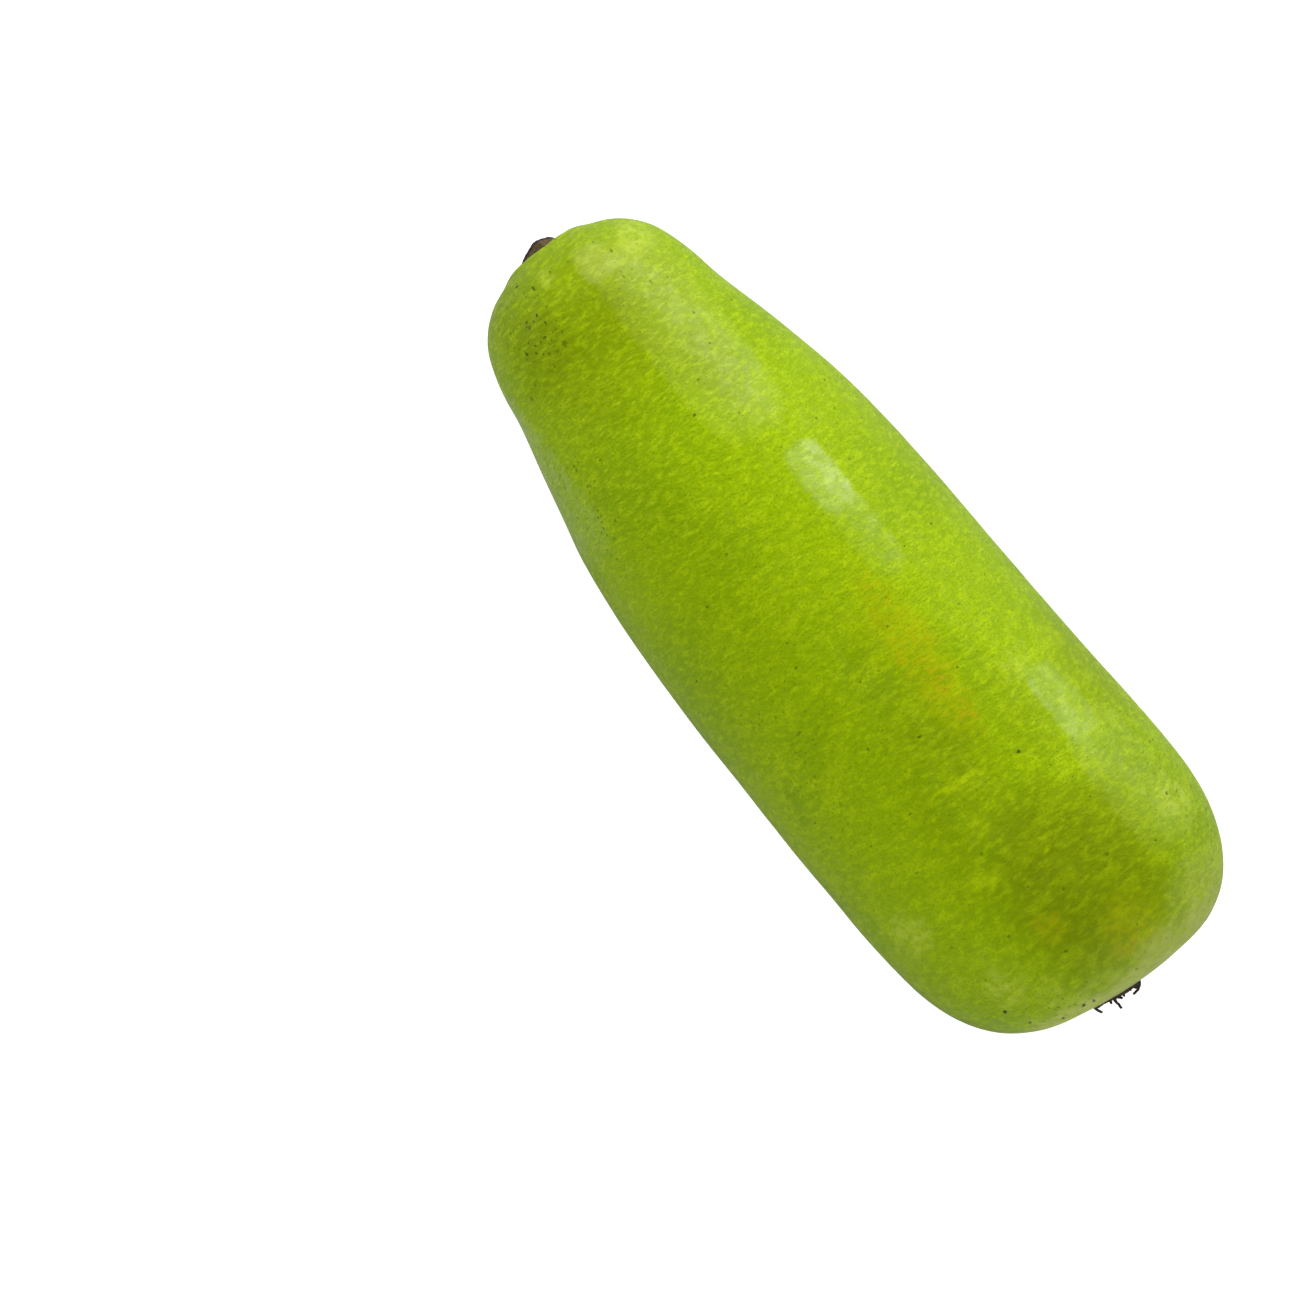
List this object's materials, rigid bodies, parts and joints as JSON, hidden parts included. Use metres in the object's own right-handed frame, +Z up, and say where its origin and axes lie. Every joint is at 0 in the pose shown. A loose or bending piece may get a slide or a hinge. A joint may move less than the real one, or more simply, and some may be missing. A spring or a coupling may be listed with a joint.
{
  "type": "bottle gourd",
  "caption": "Whole bottle gourd as picked, with a narrower neck, a cut stem stub set among creased shoulder pads, and a dry blossom scar, lying on its side.",
  "frame": {"origin": "middle of the footprint of the whole gourd, on the surface that it lies on", "axes": "+X along the gourd from the stem end to the blossom end, +Z up, and +Y completes the right-handed frame, to the side towards which the belly drifts a little"},
  "size_m": [0.2638, 0.1004, 0.0968],
  "materials": {
    "rind": "satin",
    "stem": "matte",
    "dry_blossom": "matte"
  },
  "bodies": {
    "root": {"gourd_body": "rind", "stem_stub": "stem", "blossom_remnant": "dry_blossom"}
  },
  "joints": []
}
